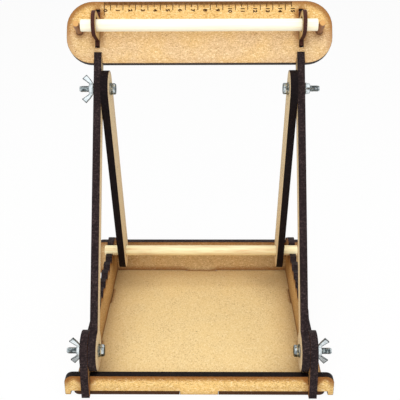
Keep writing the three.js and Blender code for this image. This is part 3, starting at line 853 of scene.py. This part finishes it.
def zinc_material(name, metallic, relief, smoothest, roughest, groove_reach, rim_width, bright, dull):
    material, tree, shader = new_material(name)
    shader.inputs["Metallic"].default_value = metallic
    shader.inputs["Specular Tint"].default_value = GLANCING_TINT
    where = add_node(tree, "ShaderNodeTexCoord")
    plate = add_node(tree, "ShaderNodeGroup", node_tree=zinc)
    tree.links.new(place_in_mm(tree, where), plate.inputs["Place"])
    grooves = openness(tree, groove_reach, GROOVE_SAMPLES, inside=False)
    tree.links.new(grooves, plate.inputs["Openness"])
    if rim_width:
        tree.links.new(openness(tree, rim_width, GROOVE_SAMPLES, inside=True), plate.inputs["Depth"])
    plate.inputs["Bright"].default_value = bright
    plate.inputs["Dull"].default_value = dull
    plate.inputs["Painted Shade"].default_value = PAINTED_SHADE_BLACK
    plate.inputs["Smoothest"].default_value = smoothest
    plate.inputs["Roughest"].default_value = roughest
    tree.links.new(plate.outputs["Colour"], shader.inputs["Base Color"])
    tree.links.new(plate.outputs["Roughness"], shader.inputs["Roughness"])
    add_relief(tree, shader, plate.outputs["Height"], relief, PIT_RELIEF)
    return material


bolt_zinc = zinc_material(
    "bolt_zinc", metallic=1.0, relief=0.1, smoothest=0.16, roughest=0.32, groove_reach=0.4 * MM,
    rim_width=0, bright=to_linear(222, 230, 232), dull=to_linear(124, 134, 137))
cast_zinc = zinc_material(
    "cast_zinc", metallic=0.6, relief=0.15, smoothest=0.22, roughest=0.36, groove_reach=1.2 * MM,
    rim_width=1.05 * MM, bright=to_linear(238, 246, 249), dull=to_linear(204, 215, 219))
print("Zinc materials:", bolt_zinc.name, "and", cast_zinc.name)

# %% [markdown]
# ## Bolts with a real thread
# The CAD bolt is a smooth bar. A hexagon head starts as a six-sided cylinder, and a Boolean
# with a wide cone turns its corners down, as on a lathe. The bolt is modelled once, along Z,
# with the underside of its head at zero.

# %% Head of the bolt
ACROSS_FLATS = 8 * MM
HEAD_CORNERS = ACROSS_FLATS / math.sqrt(3)
HEAD_THICKNESS = 3.3 * MM
CONE_START = 0.88 * HEAD_CORNERS
CONE_END = 1.5 * HEAD_CORNERS
CONE_DEPTH = 1.2 * HEAD_THICKNESS
CONE_MIDDLE = 0.4 * HEAD_THICKNESS

bpy.ops.mesh.primitive_cylinder_add(vertices=6, radius=HEAD_CORNERS, depth=HEAD_THICKNESS,
                                    location=(0, 0, -HEAD_THICKNESS / 2))
head = bpy.context.active_object
bpy.ops.mesh.primitive_cone_add(vertices=48, radius1=CONE_START, radius2=CONE_END, depth=CONE_DEPTH,
                                location=(0, 0, -CONE_MIDDLE))
turned_down = bpy.context.active_object
add_modifier(head, "BOOLEAN", operation="INTERSECT", object=turned_down, solver="EXACT")
bpy.data.objects.remove(turned_down)
add_modifier(head, "BEVEL", width=0.12 * MM, segments=2, limit_method="ANGLE",
             angle_limit=math.radians(25))
print("Head of the bolt:", triangle_count(head), "triangles")

# %% [markdown]
# The shank is a cylinder with a chamfered tip. The thread is one small triangle that the Screw
# modifier winds around it, a little sunk into the core so that no gap shows.

# %% Thread of the bolt
BOLT_LENGTH = 25.6 * MM
THREAD_RADIUS = 2.5 * MM
THREAD_CORE = 2.12 * MM
THREAD_PITCH = 0.8 * MM
THREAD_SUNK = 0.1 * MM
THREAD_STEPS = 20
TIP_CHAMFER = 0.4 * MM


def is_top(face):
    return face.normal.z > NEARLY_STRAIGHT


bpy.ops.mesh.primitive_cylinder_add(vertices=THREAD_STEPS, radius=THREAD_CORE, depth=BOLT_LENGTH,
                                    location=(0, 0, BOLT_LENGTH / 2))
core = bpy.context.active_object
bevel_around(core, is_top, TIP_CHAMFER, segments=1)

corner_radius = THREAD_PITCH / math.sqrt(3)
flatten = (THREAD_RADIUS - THREAD_CORE + THREAD_SUNK) / (1.5 * corner_radius)
bpy.ops.mesh.primitive_circle_add(vertices=3, radius=corner_radius,
                                  rotation=(math.pi / 2, math.pi / 2, 0))
ridge = bpy.context.active_object
bpy.ops.object.transform_apply(location=True, rotation=True, scale=True)
bpy.ops.object.mode_set(mode="EDIT")
bpy.ops.transform.resize(value=(flatten, 1, 1))
bpy.ops.transform.translate(
    value=(THREAD_CORE - THREAD_SUNK + flatten * corner_radius / 2, 0, THREAD_PITCH / 2))
bpy.ops.object.mode_set(mode="OBJECT")
turns = int((BOLT_LENGTH - 2 * THREAD_PITCH) / THREAD_PITCH)
add_modifier(ridge, "SCREW", angle=2 * math.pi * turns, screw_offset=THREAD_PITCH * turns,
             iterations=1, steps=THREAD_STEPS * turns, render_steps=THREAD_STEPS * turns, axis="Z",
             use_normal_calculate=True)
bpy.ops.object.mode_set(mode="EDIT")
bpy.ops.mesh.select_all(action="SELECT")
bpy.ops.mesh.fill_holes(sides=3)
bpy.ops.mesh.normals_make_consistent(inside=False)
bpy.ops.object.mode_set(mode="OBJECT")

bolt = join("bolt", head, core, ridge)
select_only(bolt)
bpy.ops.object.transform_apply(location=True, rotation=True, scale=True)
smooth(bolt, 25)
bolt.data.materials.append(bolt_zinc)
print("One bolt has", triangle_count(bolt), "triangles")

# %% [markdown]
# ## Wing nut
# A cast wing nut has a low tapered hub and two thin wings that flare outwards and end in a
# slanting edge. A wing starts as a small block at the hub. Its outer face is extruded, moved,
# scaled and turned twice, and its flat sides are inset to leave a raised rim.

# %% Wing of the nut
# Root and steps give each face's place outwards and upwards and its height, and the steps also
# give the slant in degrees.
WING_ROOT = (3.4 * MM, 2.0 * MM, 3.4 * MM)
WING_STEPS = ((6.6 * MM, 4.6 * MM, 4.1 * MM, 24), (9.6 * MM, 7.5 * MM, 4.9 * MM, 23))
WING_THICKNESS = 1.7 * MM
WING_BLOCK = 1 * MM
WING_RIM = 0.75 * MM
WING_HOLLOW = 0.12 * MM


def looks_outwards(face):
    return face.normal.x > NEARLY_STRAIGHT


def is_flat_side(face):
    return abs(face.normal.y) > NEARLY_STRAIGHT


def wing(direction):
    bpy.ops.mesh.primitive_cube_add(size=1, location=(0, 0, 0))
    blade = bpy.context.active_object
    bpy.ops.object.mode_set(mode="EDIT")
    out, up, tall = WING_ROOT
    bpy.ops.transform.resize(value=(WING_BLOCK, WING_THICKNESS, tall))
    bpy.ops.transform.translate(value=(out, 0, up))
    choose_faces(blade, looks_outwards)
    for next_out, next_up, next_tall, slant in WING_STEPS:
        bpy.ops.mesh.extrude_region_move(
            TRANSFORM_OT_translate={"value": (next_out - out, 0, next_up - up)})
        middle = (next_out, 0, next_up)
        bpy.ops.transform.resize(value=(1, 1, next_tall / tall), center_override=middle)
        bpy.ops.transform.rotate(value=math.radians(slant), orient_axis="Y", center_override=middle)
        out, up, tall = next_out, next_up, next_tall
    choose_faces(blade, is_flat_side)
    bpy.ops.mesh.inset(thickness=WING_RIM, depth=-WING_HOLLOW)
    bpy.ops.object.mode_set(mode="OBJECT")
    add_modifier(blade, "BEVEL", width=0.3 * MM, segments=2, limit_method="ANGLE",
                 angle_limit=math.radians(35))
    blade.rotation_euler = (0, 0, direction)
    return blade


# %% [markdown]
# Hub and wings are fused by a fine voxel remesh and smoothed, which leaves a casting's soft
# corners. The bore is drilled last, so that it stays crisp.

# %% One wing nut
NUT_BASE = 4.8 * MM
NUT_TOP = 3.9 * MM
NUT_HEIGHT = 4 * MM
NUT_BORE = 2.62 * MM
HUB_ROUND = 0.4 * MM
CASTING_VOXEL = 0.18 * MM

bpy.ops.mesh.primitive_cone_add(vertices=48, radius1=NUT_BASE, radius2=NUT_TOP, depth=NUT_HEIGHT,
                                location=(0, 0, NUT_HEIGHT / 2))
hub = bpy.context.active_object
bevel_around(hub, is_end, HUB_ROUND, segments=2)
wing_nut = join("wing_nut", hub, wing(0), wing(math.pi))
select_only(wing_nut)
bpy.ops.object.transform_apply(location=True, rotation=True, scale=True)
add_modifier(wing_nut, "REMESH", mode="VOXEL", voxel_size=CASTING_VOXEL)
add_modifier(wing_nut, "SMOOTH", factor=0.5, iterations=4)
add_modifier(wing_nut, "DECIMATE", ratio=0.3)
bpy.ops.mesh.primitive_cylinder_add(vertices=40, radius=NUT_BORE, depth=4 * NUT_HEIGHT)
drill = bpy.context.active_object
add_modifier(wing_nut, "BOOLEAN", operation="DIFFERENCE", object=drill, solver="EXACT")
bpy.data.objects.remove(drill)
smooth(wing_nut, 35)
wing_nut.data.materials.append(cast_zinc)
print("One wing nut has", triangle_count(wing_nut), "triangles and is",
      [round(size / MM, 1) for size in wing_nut.dimensions], "mm")

# %% [markdown]
# Bolt and nut are copied to the four pivots. Each copy has its own mesh. On the left the bolt
# points to the left, and the upper ones turn with the lean of the frame. The wings stand as in
# the photograph: upright, except for the upper right nut, whose wings lie level.

# %% Hardware at the four pivots
INNER_FACES = {"lower": 77.5 * MM, "upper": 71.2 * MM}
WASHER_SPACE = 1.4 * MM
CLAMPED_BOARDS = 12.6 * MM
FLATS_TURN = {"lower": 0, "upper": math.pi / 6}
WING_TURN = {"upper_right": math.radians(104)}


def copy_of(piece, name):
    twin = piece.copy()
    twin.data = piece.data.copy()
    twin.name = name
    bpy.context.scene.collection.objects.link(twin)
    return twin


def along_side(distance):
    return Matrix.Translation((distance, 0, 0))


for level, pivot, body, turn in (("lower", lower_bolt, "base", Matrix()),
                                 ("upper", upper_bolt, "frame", lean_turn)):
    for side, sign in (("left", -1), ("right", 1)):
        name = f"{level}_{side}"
        seat = Matrix.Translation(pivot)
        pointing = Matrix.Rotation(sign * math.pi / 2, 4, "Y")
        head_seat = along_side(sign * (INNER_FACES[level] - WASHER_SPACE))
        nut_seat = along_side(sign * (INNER_FACES[level] + CLAMPED_BOARDS))
        own_bolt = copy_of(bolt, f"bolt_{name}_threaded")
        flats_up = Matrix.Rotation(FLATS_TURN[level], 4, "X")
        place(own_bolt, seat @ head_seat @ flats_up @ pointing)
        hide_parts(f"bolt_{name}")
        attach(own_bolt, body)
        spin = Matrix.Rotation(WING_TURN.get(name, 0), 4, "X")
        own_nut = copy_of(wing_nut, f"wing_nut_{name}_cast")
        place(own_nut, seat @ nut_seat @ turn @ spin @ pointing)
        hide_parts(f"wing_nut_{name}")
        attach(own_nut, f"wing_nut_{name}")
        frame["nodes"][f"washer_{name}"].data.materials.clear()
        frame["nodes"][f"washer_{name}"].data.materials.append(bolt_zinc)
bpy.data.objects.remove(bolt)
bpy.data.objects.remove(wing_nut)
print("Four bolts, four washers and four wing nuts placed")

# %% [markdown]
# ## Floor and light
# The photograph is lit softly from the front and above, on white. A large pale floor keeps a
# faint shadow. Its material is partly a plain glow that only the camera and mirrored rays see,
# so the floor looks white while the object gets no extra light from it.

# %% Floor
FLOOR_SIZE = 6
FLOOR_DROP = 0.1 * MM
FLOOR_GLOW = 0.92


def seen_directly(tree):
    rays = add_node(tree, "ShaderNodeLightPath")
    mirrored = maths(tree, "MAXIMUM", rays.outputs["Is Glossy Ray"], rays.outputs["Is Transmission Ray"])
    return maths(tree, "MAXIMUM", rays.outputs["Is Camera Ray"], mirrored)


bpy.ops.mesh.primitive_plane_add(size=FLOOR_SIZE, location=(0, 0, -FLOOR_DROP))
floor = bpy.context.active_object
floor.name = "studio_floor"
floor_paint, tree, shader = new_material("studio_floor")
shader.inputs["Base Color"].default_value = to_linear(244, 244, 244)
shader.inputs["Roughness"].default_value = 0.9
glow = add_node(tree, "ShaderNodeEmission", {"Strength": 1.0})
share = maths(tree, "MULTIPLY", seen_directly(tree), FLOOR_GLOW)
mixer = add_node(tree, "ShaderNodeMixShader", {0: share, 1: shader.outputs[0], 2: glow.outputs[0]})
tree.links.new(mixer.outputs[0], tree.nodes["Material Output"].inputs["Surface"])
floor.data.materials.append(floor_paint)
print("Floor of", FLOOR_SIZE, "m laid")

# %% [markdown]
# Two large soft lamps and a white world light the object. The lamps leave no mirror image on
# the metal, which shows the even white of the world instead, as in a light tent.

# %% Lamps and world
WORLD_LIGHT = 0.55
WORLD_SEEN = 1.0
LIT_POINT = Vector((0, 0, 0.12))


def soft_lamp(name, place, size, watts):
    lamp = bpy.data.objects.new(name, bpy.data.lights.new(name, "AREA"))
    lamp.data.size = size
    lamp.data.energy = watts
    lamp.visible_glossy = False
    lamp.location = place
    lamp.rotation_euler = (LIT_POINT - Vector(place)).to_track_quat("-Z", "Y").to_euler()
    bpy.context.scene.collection.objects.link(lamp)


soft_lamp("front_lamp", place=(-0.1, -1.2, 1.0), size=0.8, watts=10.2)
soft_lamp("top_lamp", place=(0.1, -0.3, 1.5), size=1.2, watts=9.6)
world = bpy.data.worlds.new("studio")
world.use_nodes = True
bpy.context.scene.world = world
tree = world.node_tree
tree.links.new(fade(tree, seen_directly(tree), 0.0, 1.0, WORLD_LIGHT, WORLD_SEEN),
               tree.nodes["Background"].inputs["Strength"])
tree.nodes["Background"].inputs["Color"].default_value = (1, 1, 1, 1)
bpy.context.scene.view_settings.view_transform = "Standard"
print("Lamps:", [light.name for light in bpy.data.lights])
